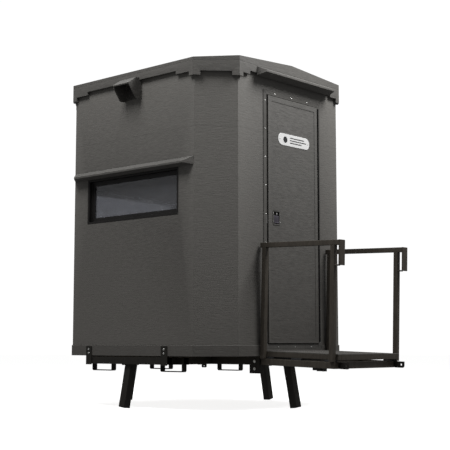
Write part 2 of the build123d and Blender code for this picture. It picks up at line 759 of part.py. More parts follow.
# The plate's rivets and the latch dish's screws.
with BuildPart() as door_fasteners:
    with BuildSketch(door_plane(PANEL_FACE + 3.4)):
        for end in (-1, 1):
            with Locations((PLATE_X + end * (PLATE_LONG / 2 - 22), PLATE_Z)):
                Circle(5)
        for end in (-1, 1):
            with Locations((DISH_X + end * 42, DISH_Z - 33), (DISH_X + end * 42, DISH_Z + 33)):
                Circle(3.5)
    extrude(amount=2)
finish(door_fasteners.part, "door_fasteners")

# ---------------------------------------------------------------- latch

with BuildPart() as latch_dish:
    with BuildSketch(door_plane(SLAB_PROUD - PAN_DEEP - 1)):
        with Locations((DISH_X, DISH_Z)):
            Rectangle(PAN_WIDE + 4, PAN_TALL + 4)
    extrude(amount=PAN_DEEP)
    with BuildSketch(door_plane(PANEL_FACE + 0.2)):
        with Locations((DISH_X, DISH_Z)):
            RectangleRounded(DISH_WIDE, DISH_TALL, 16)
    extrude(amount=3)
    with BuildSketch(door_plane(SLAB_PROUD - PAN_DEEP + 1)):
        with Locations((DISH_X, DISH_Z)):
            Rectangle(PAN_WIDE, PAN_TALL)
    extrude(amount=PAN_DEEP + 5, mode=Mode.SUBTRACT)
finish(latch_dish.part, "latch_dish")

PADDLE_PIN = Plane(
    origin=spot(DISH_X, -HALF_Y - SLAB_PROUD + 8, PADDLE_PIN_Z),
    x_dir=(0, -1, 0),
    z_dir=(-1, 0, 0),
)
with BuildPart() as paddle_pin:
    with BuildSketch(PADDLE_PIN.offset(0.2 - PAN_WIDE / 2)):
        Circle(2)
    extrude(amount=PAN_WIDE - 0.4)
finish(paddle_pin.part, "paddle_pin")

with BuildPart() as latch_paddle:
    with BuildSketch(PADDLE_PIN.offset(4 - PAN_WIDE / 2)):
        Circle(5)
        with Locations((2.5, -28)):
            Rectangle(5, 56)
        with Locations((4.5, -54)):
            Rectangle(9, 6)
        Circle(2 + FIT, mode=Mode.SUBTRACT)
    extrude(amount=PAN_WIDE - 8)
finish(latch_paddle.part, "latch_paddle")

KEY_X = DISH_X + 5.0
KEY_Z = DISH_Z + 34.0
with BuildPart() as key_cylinder:
    with BuildSketch(door_plane(SLAB_PROUD - PAN_DEEP + 1.2)):
        with Locations((KEY_X, KEY_Z)):
            Circle(8)
    extrude(amount=PAN_DEEP - 3)
    with BuildSketch(door_plane(SLAB_PROUD - 4)):
        with Locations((KEY_X, KEY_Z)):
            Rectangle(1.6, 8)
    extrude(amount=4, mode=Mode.SUBTRACT)
finish(key_cylinder.part, "key_cylinder")

with BuildPart() as latch_nose:
    with BuildSketch(latch_plane(SLAB_LEFT - 4)):
        Rectangle(12, 24)
    extrude(amount=34)
    with BuildSketch(latch_plane(SLAB_LEFT + 29)):
        Rectangle(10, 10)
    extrude(amount=PAN_EDGE_X - 14 - SLAB_LEFT - 29)
    chamfer(latch_nose.edges().group_by(Axis.X)[0].filter_by(Axis.Z).sort_by(Axis.Y)[-1], length=3.5)
finish(latch_nose.part, "latch_nose")

with BuildPart() as inside_knob:
    with BuildSketch(door_plane(SLAB_PROUD - SLAB_THICK - 14)):
        with Locations((ROD_SLOT_X, NOSE_Z)):
            Circle(11)
    extrude(amount=10)
    with BuildSketch(door_plane(SLAB_PROUD - SLAB_THICK - 5)):
        with Locations((ROD_SLOT_X, NOSE_Z)):
            Circle(4)
    extrude(amount=SLAB_THICK / 2 - 5 + 4.8)
finish(inside_knob.part, "inside_knob")

with BuildPart() as strike:
    with BuildSketch(door_plane(-12)):
        with Locations((DOOR_LEFT + 1.2, NOSE_Z)):
            Rectangle(2, 70)
    extrude(amount=16)
    with BuildSketch(door_plane(3)):
        with Locations((DOOR_LEFT + 2.2, NOSE_Z)):
            Rectangle(4, 70)
    extrude(amount=1.5)
finish(strike.part, "strike")

# ---------------------------------------------------------------- tower head


def beam(x0, x1, y0, y1):
    """One square tube of the tower head, along its longer way, open at both ends."""
    long_x = (x1 - x0) > (y1 - y0)
    with Locations(spot((x0 + x1) / 2, (y0 + y1) / 2, BEAM_MID)):
        Box(x1 - x0, y1 - y0, BEAM)
        inner_x = (x1 - x0 + 1) if long_x else (x1 - x0 - 2 * BEAM_WALL)
        inner_y = (y1 - y0 - 2 * BEAM_WALL) if long_x else (y1 - y0 + 1)
        Box(inner_x, inner_y, BEAM - 2 * BEAM_WALL, mode=Mode.SUBTRACT)


# Two long beams run from side bar to side bar, and shorter ones stand between them.
TRIM_FACE_X = HALF_X + TRIM_OUT
TRIM_FACE_Y = HALF_Y + TRIM_OUT
PORCH_BEAM_LEFT = PORCH_X - PORCH_BEAM_HALF
PORCH_BEAM_RIGHT = PORCH_X + PORCH_BEAM_HALF
NEAR_Y = HEAD_Y - HEAD_HALF
FAR_Y = HEAD_Y + HEAD_HALF
with BuildPart() as head_beams:
    for y in (NEAR_Y, FAR_Y):
        beam(BEAM - TRIM_FACE_X + 0.3, TRIM_FACE_X - BEAM - 0.3, y - BEAM / 2, y + BEAM / 2)
finish(head_beams.part, "head_beams")

with BuildPart() as head_bars:
    for x in (-TRIM_FACE_X, TRIM_FACE_X - BEAM):
        beam(x, x + BEAM, HEAD_Y - SIDE_BAR_HALF, HEAD_Y + SIDE_BAR_HALF)
    beam(-SIDE_BAR_HALF, SIDE_BAR_HALF, TRIM_FACE_Y - BEAM, TRIM_FACE_Y)
    beam(PORCH_BEAM_LEFT + BEAM + 0.3, PORCH_BEAM_RIGHT - BEAM - 0.3, -TRIM_FACE_Y, BEAM - TRIM_FACE_Y)
finish(head_bars.part, "head_bars")

with BuildPart() as head_ties:
    for x in (STRAP_NEAR - BEAM / 2, STRAP_FAR - BEAM / 2, -STRAP_NEAR - BEAM / 2):
        beam(x, x + BEAM, NEAR_Y + BEAM / 2 + 0.3, FAR_Y - BEAM / 2 - 0.3)
    for x in (STRAP_NEAR - BEAM / 2, STRAP_FAR - BEAM / 2):
        beam(x, x + BEAM, FAR_Y + BEAM / 2 + 0.3, FAR_Y + 110)
        beam(x, x + BEAM, NEAR_Y - 110, NEAR_Y - BEAM / 2 - 0.3)
    for x in (PORCH_BEAM_LEFT, PORCH_BEAM_RIGHT - BEAM):
        beam(x, x + BEAM, 8.3 - HALF_Y, NEAR_Y - BEAM / 2 - 0.3)
        beam(x, x + BEAM, FAR_Y + BEAM / 2 + 0.3, TRIM_FACE_Y - BEAM - 0.3)
finish(head_ties.part, "head_ties")

TIE_TALL = 156.0
TIE_WIDE = 71.0
TIES = [(180, TRIM_FACE_X, -(HEAD_Y + HEAD_HALF)), (180, TRIM_FACE_X, -(HEAD_Y - HEAD_HALF)),
        (0, TRIM_FACE_X, HEAD_Y + HEAD_HALF), (0, TRIM_FACE_X, HEAD_Y - HEAD_HALF),
        (90, TRIM_FACE_Y, HEAD_HALF), (90, TRIM_FACE_Y, -HEAD_HALF)]
with BuildPart() as tie_plates:
    for angle, reach, along in TIES:
        with BuildSketch(side(angle, reach + 0.2)):
            with Locations((along, -8 - TIE_TALL / 2)):
                Rectangle(TIE_WIDE, TIE_TALL)
        extrude(amount=6)
finish(tie_plates.part, "tie_plates")

# Hexagon bolt heads: on the tie plates, and on the porch brackets' outer faces.
with BuildPart() as tower_bolts:
    for angle, reach, along in TIES:
        with BuildSketch(side(angle, reach + 6.4)):
            for z in (-35, -67):
                with Locations((along, z)):
                    RegularPolygon(8, 6)
        extrude(amount=6)
    for end, beam_x in ((-1, PORCH_BEAM_LEFT), (1, PORCH_BEAM_RIGHT)):
        face_x = beam_x + end * (BRACKET_THICK + 0.4)
        with BuildSketch(Plane(origin=spot(face_x, 0), x_dir=(0, end, 0), z_dir=(end, 0, 0))):
            for z in (-129, -189):
                with Locations((end * (52 - HALF_Y), z)):
                    RegularPolygon(12, 6)
        extrude(amount=8)
finish(tower_bolts.part, "tower_bolts")

# Legs stand below the middle of each side and splay outwards.
LEGS = [(180, 897.0, -HEAD_Y), (0, 897.0, HEAD_Y), (90, 972.0, 0.0), (-90, 985.0, 0.0)]


def leg_plane(angle, reach, along):
    """The leg's tilted cross plane at its top, centred on the tube; Z runs down the leg."""
    wall = side(angle, reach - LEG / 2, BEAM_LOW - LEG_PLATE)
    splay = radians(LEG_SPLAY)
    down = wall.z_dir * sin(splay) - Vector(0, 0, 1) * cos(splay)
    return Plane(origin=wall.origin + wall.x_dir * along, x_dir=wall.x_dir, z_dir=down)


with BuildPart() as leg_stubs:
    for angle, reach, along in LEGS:
        top = leg_plane(angle, reach, along)
        with BuildSketch(top.offset(-30)):
            Rectangle(LEG, LEG)
            Rectangle(LEG - 2 * LEG_WALL, LEG - 2 * LEG_WALL, mode=Mode.SUBTRACT)
            # Welded from four plates: fine seams run down the corners.
            for turn in (45, -45):
                with Locations(Location((0, 0, 0), (0, 0, turn))):
                    Rectangle(3 * LEG, SEAM, mode=Mode.SUBTRACT)
        extrude(amount=LEG_LENGTH + 30)
    with BuildSketch(level(BEAM_LOW - LEG_PLATE - 0.2)):
        Rectangle(3 * WIDTH, 3 * DEPTH)
    extrude(amount=120, mode=Mode.SUBTRACT)
finish(leg_stubs.part, "leg_stubs")

with BuildPart() as leg_plates:
    for angle, reach, along in LEGS:
        foot = side(angle, reach - LEG / 2 + 4)
        with BuildSketch(Plane(origin=foot.origin + foot.x_dir * along, x_dir=foot.x_dir,
                               z_dir=(0, 0, 1)).offset(BEAM_LOW - LEG_PLATE)):
            Rectangle(LEG + 40, LEG + 22)
        extrude(amount=LEG_PLATE - 0.2)
finish(leg_plates.part, "leg_plates")

with BuildPart() as fork_straps:
    for x in (STRAP_NEAR, STRAP_FAR):
        for lane in (-STRAP_LANE, STRAP_LANE):
            hung = spot(x - STRAP_WIDE / 2, HEAD_Y + lane, BEAM_LOW - 0.2)
            loop = Plane(origin=hung, x_dir=(0, 1, 0), z_dir=(1, 0, 0))
            with BuildSketch(loop) as outline:
                with Locations((0, -STRAP_DROP / 2)):
                    Rectangle(STRAP_LOOP, STRAP_DROP)
                fillet(outline.vertices().group_by(Axis.Y)[0], radius=16)
                with Locations((0, STRAP_THICK / 2 - STRAP_DROP / 2 + 0.5)):
                    Rectangle(STRAP_LOOP - 2 * STRAP_THICK, STRAP_DROP - STRAP_THICK + 1, mode=Mode.SUBTRACT)
                with Locations(((STRAP_LOOP / 2 - 18), -STRAP_DROP), (18 - STRAP_LOOP / 2, -STRAP_DROP)):
                    Rectangle(SEAM, 3 * STRAP_THICK, mode=Mode.SUBTRACT)
            extrude(amount=STRAP_WIDE)
finish(fork_straps.part, "fork_straps")

TABS = [(-430, -390), (430, -390), (-430, 474), (430, 474)]
with BuildPart() as lift_tabs:
    for x, y in TABS:
        hung = Plane(origin=spot(x - 5, y, BEAM_LOW - 0.2), x_dir=(0, 1, 0), z_dir=(1, 0, 0))
        with BuildSketch(hung) as tab:
            with Locations((0, -14)):
                Rectangle(50, 28)
            fillet(tab.vertices().group_by(Axis.Y)[0], radius=10)
            with Locations((0, -15)):
                Circle(7, mode=Mode.SUBTRACT)
        extrude(amount=10)
finish(lift_tabs.part, "lift_tabs")

# ---------------------------------------------------------------- porch


with BuildPart(PORCH) as porch_frame:
    side_long = FRAME_BACK - FRAME_FRONT
    for end in (-1, 1):
        with Locations((end * (FRAME_HALF - TUBE / 2), (FRAME_BACK + FRAME_FRONT) / 2, TUBE_TOP - TUBE / 2)):
            Box(TUBE, side_long, TUBE)
            Box(TUBE - 2 * POST_WALL, side_long - 6, TUBE - 2 * POST_WALL, mode=Mode.SUBTRACT)
    for y in (FRAME_FRONT + TUBE / 2, (FRAME_BACK + FRAME_FRONT) / 2):
        with Locations((0, y, TUBE_TOP - TUBE / 2)):
            Box(2 * (FRAME_HALF - TUBE) - 0.4, TUBE, TUBE)
            Box(2 * (FRAME_HALF - TUBE) - 6, TUBE - 2 * POST_WALL, TUBE - 2 * POST_WALL, mode=Mode.SUBTRACT)
finish(porch_frame.part, "porch_frame")

with BuildPart(PORCH) as porch_pads:
    pad_tall = DECK_TOP - DECK_TALL - TUBE_TOP
    for end in (-1, 1):
        for y in (-70, -350, FRAME_FRONT + 60):
            with Locations((end * (FRAME_HALF - TUBE / 2 - 10), y, TUBE_TOP + pad_tall / 2)):
                Box(TUBE - 20, 100, pad_tall - 0.4)
finish(porch_pads.part, "porch_pads")

LUG_PLANE = Plane(origin=PORCH.origin, x_dir=PORCH.y_dir * -1, z_dir=(-1, 0, 0))
with BuildPart() as porch_lugs:
    for x in (FRAME_HALF - TUBE - 0.3, LUG_THICK + TUBE + 0.3 - FRAME_HALF):
        with BuildSketch(LUG_PLANE.offset(-x)) as lug:
            with Locations((-FRAME_FRONT + LUG_REACH / 2 + 0.2, TUBE_TOP - TUBE / 2)):
                Rectangle(LUG_REACH, TUBE)
            fillet(lug.vertices().group_by(Axis.Y)[0], radius=18)
            with Locations((-FRAME_FRONT + LUG_REACH - LUG_HOLE_BACK, TUBE_TOP - TUBE / 2)):
                Circle(LUG_HOLE_R, mode=Mode.SUBTRACT)
        extrude(amount=LUG_THICK)
finish(porch_lugs.part, "porch_lugs")

with BuildPart() as porch_brackets:
    for end, beam_x in ((-1, PORCH_BEAM_LEFT), (1, PORCH_BEAM_RIGHT)):
        with BuildSketch(level(BRACKET_TOP - BRACKET_TALL)):
            with Locations((beam_x + end * BRACKET_THICK / 2 + end * 0.2, 0.5 - HALF_Y + BRACKET_Y / 2)):
                Rectangle(BRACKET_THICK, BRACKET_Y)
            flange_x = beam_x - end * (BRACKET_X - BRACKET_THICK) / 2 + end * 0.4
            with Locations((flange_x, 0.5 - HALF_Y + BRACKET_THICK / 2)):
                Rectangle(BRACKET_X - BRACKET_THICK, BRACKET_THICK - 1)
        extrude(amount=BRACKET_TALL)
finish(porch_brackets.part, "porch_brackets")

with BuildPart() as hanger_blocks:
    for end, beam_x in ((-1, PORCH_BEAM_LEFT), (1, PORCH_BEAM_RIGHT)):
        with Locations(spot(beam_x - end * BEAM / 2, -HALF_Y + 60, BEAM_LOW - 0.2 - 30)):
            Box(BEAM, 90, 60)
            Box(BEAM - 8, 100, 52, mode=Mode.SUBTRACT)
finish(hanger_blocks.part, "hanger_blocks")

with BuildPart(PORCH) as deck_frame:
    deck_long = DECK_BACK - DECK_FRONT
    deck_mid = (DECK_BACK + DECK_FRONT) / 2
    deck_bore = DECK_TALL - 2 * POST_WALL
    for end in (-1, 1):
        with Locations((end * (DECK_HALF - DECK_TALL / 2), deck_mid, DECK_TOP - DECK_TALL / 2)):
            Box(DECK_TALL, deck_long, DECK_TALL)
            Box(deck_bore, deck_long - 6, deck_bore, mode=Mode.SUBTRACT)
    for y in (DECK_FRONT + DECK_TALL / 2, deck_mid, DECK_BACK - DECK_TALL / 2):
        with Locations((0, y, DECK_TOP - DECK_TALL / 2)):
            Box(2 * (DECK_HALF - DECK_TALL) - 0.4, DECK_TALL, DECK_TALL)
            Box(2 * (DECK_HALF - DECK_TALL) - 6, deck_bore, deck_bore, mode=Mode.SUBTRACT)
finish(deck_frame.part, "deck_frame")

with BuildPart() as deck_grate:
    with BuildSketch(PORCH.offset(DECK_TOP + 0.2)):
        with Locations((0, (DECK_BACK + DECK_FRONT) / 2)):
            Rectangle(2 * DECK_HALF, DECK_BACK - DECK_FRONT)
            with GridLocations(40, 36, 20, 19):
                Rectangle(30, 24, mode=Mode.SUBTRACT)
    extrude(amount=GRATE_THICK)
finish(deck_grate.part, "deck_grate")

POST_TALL = RAIL_TOP - POST - POST_FOOT - 0.4
for name, end in (("left", -1), ("right", 1)):
    rail_x = end * (RAIL_HALF - POST / 2)
    with BuildPart(PORCH) as railing:
        for y in (INNER_POST, OUTER_POST):
            with Locations((rail_x, y, POST_FOOT + 0.2 + POST_TALL / 2)):
                Box(POST, POST, POST_TALL)
                Box(POST - 2 * POST_WALL, POST - 2 * POST_WALL, POST_TALL - 6, mode=Mode.SUBTRACT)
        rail_front = PLATE_FACE + PLATE_THICK + 0.2
        with Locations((rail_x, (RAIL_BACK + rail_front) / 2, RAIL_TOP - POST / 2)):
            Box(POST, RAIL_BACK - rail_front, POST)
            Box(POST - 2 * POST_WALL, RAIL_BACK - rail_front - 6, POST - 2 * POST_WALL, mode=Mode.SUBTRACT)
        with Locations((rail_x, PLATE_FACE + PLATE_THICK / 2, (RAIL_TOP + PLATE_FOOT) / 2)):
            Box(PLATE_WIDE, PLATE_THICK, RAIL_TOP - PLATE_FOOT)
        with Locations((rail_x, OUTER_POST - POST / 2 - 15.2, PLATE_FOOT + 2)):
            Box(POST, 30, 10)
    finish(railing.part, "railing_" + name)
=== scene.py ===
import json
from math import cos, pi, radians, sin

import bmesh
import bpy
from mathutils import Matrix, Vector

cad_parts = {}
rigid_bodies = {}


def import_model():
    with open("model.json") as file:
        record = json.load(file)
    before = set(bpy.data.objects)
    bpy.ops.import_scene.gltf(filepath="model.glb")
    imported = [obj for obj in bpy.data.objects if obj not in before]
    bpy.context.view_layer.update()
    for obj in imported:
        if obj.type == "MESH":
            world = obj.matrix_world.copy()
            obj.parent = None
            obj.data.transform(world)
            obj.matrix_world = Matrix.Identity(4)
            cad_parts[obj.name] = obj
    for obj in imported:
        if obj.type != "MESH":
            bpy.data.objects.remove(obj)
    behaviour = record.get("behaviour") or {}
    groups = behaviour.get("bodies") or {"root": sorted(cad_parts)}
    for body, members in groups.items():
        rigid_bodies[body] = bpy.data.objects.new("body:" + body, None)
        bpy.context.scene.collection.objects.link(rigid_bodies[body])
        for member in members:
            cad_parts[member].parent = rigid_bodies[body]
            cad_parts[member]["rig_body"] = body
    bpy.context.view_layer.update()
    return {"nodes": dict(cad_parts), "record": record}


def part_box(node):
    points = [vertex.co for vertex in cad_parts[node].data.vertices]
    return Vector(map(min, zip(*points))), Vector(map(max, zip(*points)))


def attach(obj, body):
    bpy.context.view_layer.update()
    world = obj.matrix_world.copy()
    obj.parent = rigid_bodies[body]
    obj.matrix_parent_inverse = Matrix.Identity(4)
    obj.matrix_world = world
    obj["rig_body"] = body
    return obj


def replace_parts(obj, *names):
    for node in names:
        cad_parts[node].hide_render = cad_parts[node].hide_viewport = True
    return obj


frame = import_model()
scene = bpy.context.scene
scene.view_settings.view_transform = "Standard"
NODE_BODY = {name: node["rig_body"] for name, node in frame["nodes"].items()}
NODE_SLOT = {part["node"]: part["material_slot"] for part in frame["record"]["subparts"]}

# ---------------------------------------------------------------- places read from the frame

skin_low, skin_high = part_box("wall_skins")
trim_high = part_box("base_trim")[1]
CABIN = Vector(((skin_low.x + skin_high.x) / 2, (skin_low.y + skin_high.y) / 2, trim_high.z))
PORCH_TILT = radians(1.8)
# The height of the joint between the walls' lower and upper sheets.
PANEL_SEAM = CABIN.z + 1.745

# ---------------------------------------------------------------- materials


class Shader:
    """One node material; each method adds nodes and returns the socket that carries the result."""

    def __init__(self, name, roughness, metallic=0.0, specular=0.5):
        self.material = bpy.data.materials.new(name)
        self.material.use_nodes = True
        self.nodes = self.material.node_tree.nodes
        self.links = self.material.node_tree.links
        self.bsdf = self.nodes["Principled BSDF"]
        self.bsdf.inputs["Roughness"].default_value = roughness
        self.bsdf.inputs["Metallic"].default_value = metallic
        self.bsdf.inputs["Specular IOR Level"].default_value = specular
        self.place = self.nodes.new("ShaderNodeTexCoord").outputs["Object"]
        self.normal = None

    def set(self, socket, value):
        """Feeds a value or another node's socket into this socket."""
        if isinstance(value, bpy.types.NodeSocket):
            self.links.new(value, socket)
        else:
            socket.default_value = value

    def noise(self, stretch, scale=1.0, detail=4.0, rough=0.55):
        """Noise over the object's own coordinates, stretched by this much along each axis."""
        mapping = self.nodes.new("ShaderNodeMapping")
        mapping.inputs["Scale"].default_value = stretch
        self.links.new(self.place, mapping.inputs["Vector"])
        noise = self.nodes.new("ShaderNodeTexNoise")
        noise.inputs["Scale"].default_value = scale
        noise.inputs["Detail"].default_value = detail
        noise.inputs["Roughness"].default_value = rough
        self.links.new(mapping.outputs["Vector"], noise.inputs["Vector"])
        return noise.outputs["Fac"]

    def span(self, value, low, high, to_low=0.0, to_high=1.0):
        """Maps a stretch of a value's range onto another range, clamped."""
        node = self.nodes.new("ShaderNodeMapRange")
        for socket, number in zip(("Value", "From Min", "From Max", "To Min", "To Max"),
                                  (value, low, high, to_low, to_high)):
            self.set(node.inputs[socket], number)
        return node.outputs["Result"]

    def math(self, operation, first, second=0.0):
        """One arithmetic step on values or sockets."""
        node = self.nodes.new("ShaderNodeMath")
        node.operation = operation
        self.set(node.inputs[0], first)
        self.set(node.inputs[1], second)
        return node.outputs["Value"]

    def mix(self, factor, first, second):
        """Blends two colours."""
        node = self.nodes.new("ShaderNodeMix")
        node.data_type = "RGBA"
        self.set(node.inputs["Factor"], factor)
        for socket, colour in (("A", first), ("B", second)):
            place = [s for s in node.inputs if s.name == socket and s.type == "RGBA"][0]
            self.set(place, colour if isinstance(colour, bpy.types.NodeSocket) else (*colour, 1))
        return [s for s in node.outputs if s.type == "RGBA"][0]

    def edges(self, low=0.52, high=0.58):
        """1 along outward corners, 0 on flat stretches."""
        geometry = self.nodes.new("ShaderNodeNewGeometry")
        return self.span(geometry.outputs["Pointiness"], low, high)

    def facing_up(self):
        """1 on ledges and slopes that face up, where light from above is painted, 0 on walls."""
        geometry = self.nodes.new("ShaderNodeNewGeometry")
        split = self.nodes.new("ShaderNodeSeparateXYZ")
        self.links.new(geometry.outputs["Normal"], split.inputs["Vector"])
        return self.span(split.outputs["Z"], 0.25, 0.75)

    def height(self):
        """The surface point's own height."""
        split = self.nodes.new("ShaderNodeSeparateXYZ")
        self.links.new(self.place, split.inputs["Vector"])
        return split.outputs["Z"]

    def bump(self, height, distance, strength=1.0):
        """Raises the surface by this height, on top of any bump it already has."""
        node = self.nodes.new("ShaderNodeBump")
        node.inputs["Strength"].default_value = strength
        node.inputs["Distance"].default_value = distance
        self.links.new(height, node.inputs["Height"])
        if self.normal is not None:
            self.links.new(self.normal, node.inputs["Normal"])
        self.normal = node.outputs["Normal"]
        self.links.new(self.normal, self.bsdf.inputs["Normal"])

    def colour(self, value):
        is_socket = isinstance(value, bpy.types.NodeSocket)
        self.set(self.bsdf.inputs["Base Color"], value if is_socket else (*value, 1))

    def roughness(self, value):
        self.set(self.bsdf.inputs["Roughness"], value)


def shade(colour, factor):
    """A colour made lighter or darker."""
    return tuple(channel * factor for channel in colour)


# Painted shade: colour darkens towards the bottom, fading out between these two heights. Painted light
# from above lies on what faces up.
LOW_SHADE = (0.033, 0.028, 0.0235)
TOP_LIGHT = (0.115, 0.114, 0.110)
LOW_SHADE_FROM = 0.35
LOW_SHADE_TO = 1.9
SEAM_CORE = 0.0008
SEAM_EDGE = 0.0035


def panel_material(name, colour, seam=False):
    """Composite sheet: a fine weave drawn out sideways under matt paint."""
    shader = Shader(name, 0.62, specular=0.2)
    slubs = shader.noise((17, 17, 82), detail=5, rough=0.7)
    streaks = shader.noise((9, 9, 190), detail=6, rough=0.65)
    weave = shader.noise((160, 160, 620), detail=3)
    clouds = shader.noise((1.3, 1.3, 1.1), detail=3)
    tone = shader.mix(shader.span(slubs, 0.33, 0.67), shade(colour, 0.66), shade(colour, 1.34))
    tone = shader.mix(shader.span(streaks, 0.3, 0.7, 0, 0.5), tone, shade(colour, 1.10))
    tone = shader.mix(shader.span(clouds, 0.35, 0.65, 0, 0.5), tone, shade(colour, 0.90))
    tone = shader.mix(shader.span(weave, 0.62, 0.80, 0, 0.35), tone, shade(colour, 1.5))
    # Painted shade: the sheet is darker towards the bottom, in patches.
    dust_and_shade = shader.span(shader.height(), LOW_SHADE_FROM, LOW_SHADE_TO, 0.42, 0.0)
    tone = shader.mix(shader.math("MULTIPLY", dust_and_shade, shader.span(clouds, 0.3, 0.7, 0.7, 1.0)), tone, LOW_SHADE)
    # Outward corners made paler: partly rubbed wear and partly a painted highlight.
    tone = shader.mix(shader.math("MULTIPLY", shader.edges(0.53, 0.62), 0.45), tone, shade(colour, 1.9))
    if seam:
        line = shader.math("SUBTRACT", shader.height(), PANEL_SEAM)
        line = shader.span(shader.math("ABSOLUTE", line), SEAM_CORE, SEAM_EDGE, 1.0, 0.0)
        tone = shader.mix(shader.math("MULTIPLY", line, 0.32), tone, shade(colour, 0.45))
    # Painted light from above: faces that point up are made lighter.
    lit_tops = shader.math("MULTIPLY", shader.facing_up(), shader.span(clouds, 0.3, 0.7, 0.22, 0.38))
    shader.colour(shader.mix(lit_tops, tone, TOP_LIGHT))
    shader.roughness(shader.span(clouds, 0.3, 0.7, 0.54, 0.70))
    shader.bump(slubs, 0.0022, 0.8)
    shader.bump(streaks, 0.0014, 0.7)
    shader.bump(weave, 0.0005, 0.8)
    return shader.material


def painted_steel(name, colour, roughness=0.42, wear_and_highlight=0.35):
    """Powder coat over steel, a little orange peel, paler along edges: rubbed wear and a painted
    highlight.
    """
    shader = Shader(name, roughness, specular=0.14)
    peel = shader.noise((420, 420, 420), detail=2)
    clouds = shader.noise((5, 5, 3), detail=5, rough=0.6)
    scuffs = shader.noise((60, 60, 14), detail=6, rough=0.7)
    tone = shader.mix(shader.span(clouds, 0.35, 0.7), shade(colour, 0.82), shade(colour, 1.25))
    tone = shader.mix(shader.span(scuffs, 0.66, 0.76, 0, 0.4), tone, shade(colour, 2.3))
    # Edges made paler: partly rubbed wear and partly a painted highlight.
    rubbed_and_highlit = shader.math("MULTIPLY", shader.edges(), shader.span(scuffs, 0.35, 0.65, wear_and_highlight, 2 * wear_and_highlight))
    tone = shader.mix(rubbed_and_highlit, tone, shade(colour, 3.6))
    shader.colour(tone)
    shader.roughness(shader.span(clouds, 0.3, 0.7, roughness - 0.07, roughness + 0.12))
    shader.bump(peel, 0.00035, 0.6)
    shader.bump(scuffs, 0.0003, 0.5)
    return shader.material


def bare_metal(name, colour, roughness, stretch=(40, 40, 900)):
    """Brushed or plated metal with fine drawn lines and dull patches."""
    shader = Shader(name, roughness, metallic=1.0)
    lines = shader.noise(stretch, detail=3)
    dull = shader.noise((22, 22, 22), detail=4)
    tone = shader.mix(shader.span(dull, 0.4, 0.7), colour, shade(colour, 0.72))
    shader.colour(tone)
    shader.roughness(shader.span(lines, 0.3, 0.7, roughness - 0.06, roughness + 0.12))
    shader.bump(lines, 0.0002, 0.4)
    return shader.material


def plate_material(name, colour):
    """Satin anodised sheet, brushed along its length."""
    shader = Shader(name, 0.5, metallic=0.25, specular=0.3)
    lines = shader.noise((24, 24, 1500), detail=3)
    smears = shader.noise((16, 16, 30), detail=4)
    tone = shader.mix(shader.span(lines, 0.3, 0.7), shade(colour, 0.9), shade(colour, 1.08))
    tone = shader.mix(shader.span(smears, 0.5, 0.75, 0, 0.4), tone, shade(colour, 0.78))
    shader.colour(tone)
    shader.roughness(shader.span(smears, 0.3, 0.7, 0.42, 0.6))
    shader.bump(lines, 0.0002, 0.5)
    return shader.material


def soft_material(name, colour, roughness=0.9, scale=240):
    """Rubber, felt and foam: a fine matt grain."""
    shader = Shader(name, roughness, specular=0.25)
    grain = shader.noise((scale, scale, scale), detail=4)
    clouds = shader.noise((6, 6, 6), detail=3)
    tone = shader.mix(shader.span(grain, 0.3, 0.7), shade(colour, 0.75), shade(colour, 1.3))
    tone = shader.mix(shader.span(clouds, 0.4, 0.7, 0, 0.3), tone, shade(colour, 0.8))
    shader.colour(tone)
    shader.roughness(shader.span(clouds, 0.3, 0.7, roughness - 0.05, min(1.0, roughness + 0.05)))
    shader.bump(grain, 0.0008, 0.7)
    return shader.material


def wood_material(name, colour):
    """Sealed board with a drawn grain."""
    shader = Shader(name, 0.6)
    grain = shader.noise((60, 4, 60), detail=5)
    shader.colour(shader.mix(shader.span(grain, 0.3, 0.7), shade(colour, 0.7), shade(colour, 1.2)))
    shader.bump(grain, 0.0006, 0.6)
    return shader.material


def glass_material(name):
    """Tinted safety glass with faint dust."""
    shader = Shader(name, 0.06)
    dust_and_shade = shader.noise((7, 7, 16), detail=6, rough=0.6)
    shader.colour(shader.mix(shader.span(dust_and_shade, 0.45, 0.75), (0.40, 0.41, 0.445), (0.46, 0.47, 0.50)))
    shader.roughness(shader.span(dust_and_shade, 0.4, 0.75, 0.03, 0.16))
    shader.bump(shader.noise((3, 3, 3), detail=2), 0.0006, 0.25)
    shader.bsdf.inputs["Transmission Weight"].default_value = 0.92
    shader.bsdf.inputs["IOR"].default_value = 1.5
    return shader.material


MATERIALS = {
    "wall_panel": panel_material("wall_panel", (0.058, 0.0555, 0.0515), seam=True),
    "trim_panel": panel_material("trim_panel", (0.050, 0.0478, 0.0444)),
    "door_panel": panel_material("door_panel", (0.056, 0.054, 0.0505)),
    "foam": soft_material("foam", (0.70, 0.68, 0.60), scale=120),
    "liner": soft_material("liner", (0.045, 0.045, 0.048)),
    "floor_board": wood_material("floor_board", (0.42, 0.31, 0.20)),
    "mat": soft_material("mat", (0.03, 0.03, 0.032), 0.85),
    "seal": soft_material("seal", (0.018, 0.018, 0.018), 0.75, 500),
    "dark_metal": painted_steel("dark_metal", (0.0055, 0.0052, 0.005), 0.38, 0.2),
    "sash_metal": painted_steel("sash_metal", (0.0065, 0.0062, 0.006), 0.42, 0.2),
    "door_frame": painted_steel("door_frame", (0.036, 0.0345, 0.032), 0.5, 0.25),
    "tower_steel": painted_steel("tower_steel", (0.0042, 0.0038, 0.0032), 0.40, 0.5),
    "porch_steel": painted_steel("porch_steel", (0.0118, 0.0102, 0.0083), 0.42, 0.6),
    "grating": painted_steel("grating", (0.022, 0.021, 0.0195), 0.42, 0.5),
    "paddle": painted_steel("paddle", (0.034, 0.031, 0.038), 0.35, 0.3),
    "plate": plate_material("plate", (0.47, 0.47, 0.465)),
    "bright_metal": bare_metal("bright_metal", (0.62, 0.62, 0.60), 0.34),
    "glass": glass_material("glass"),
}
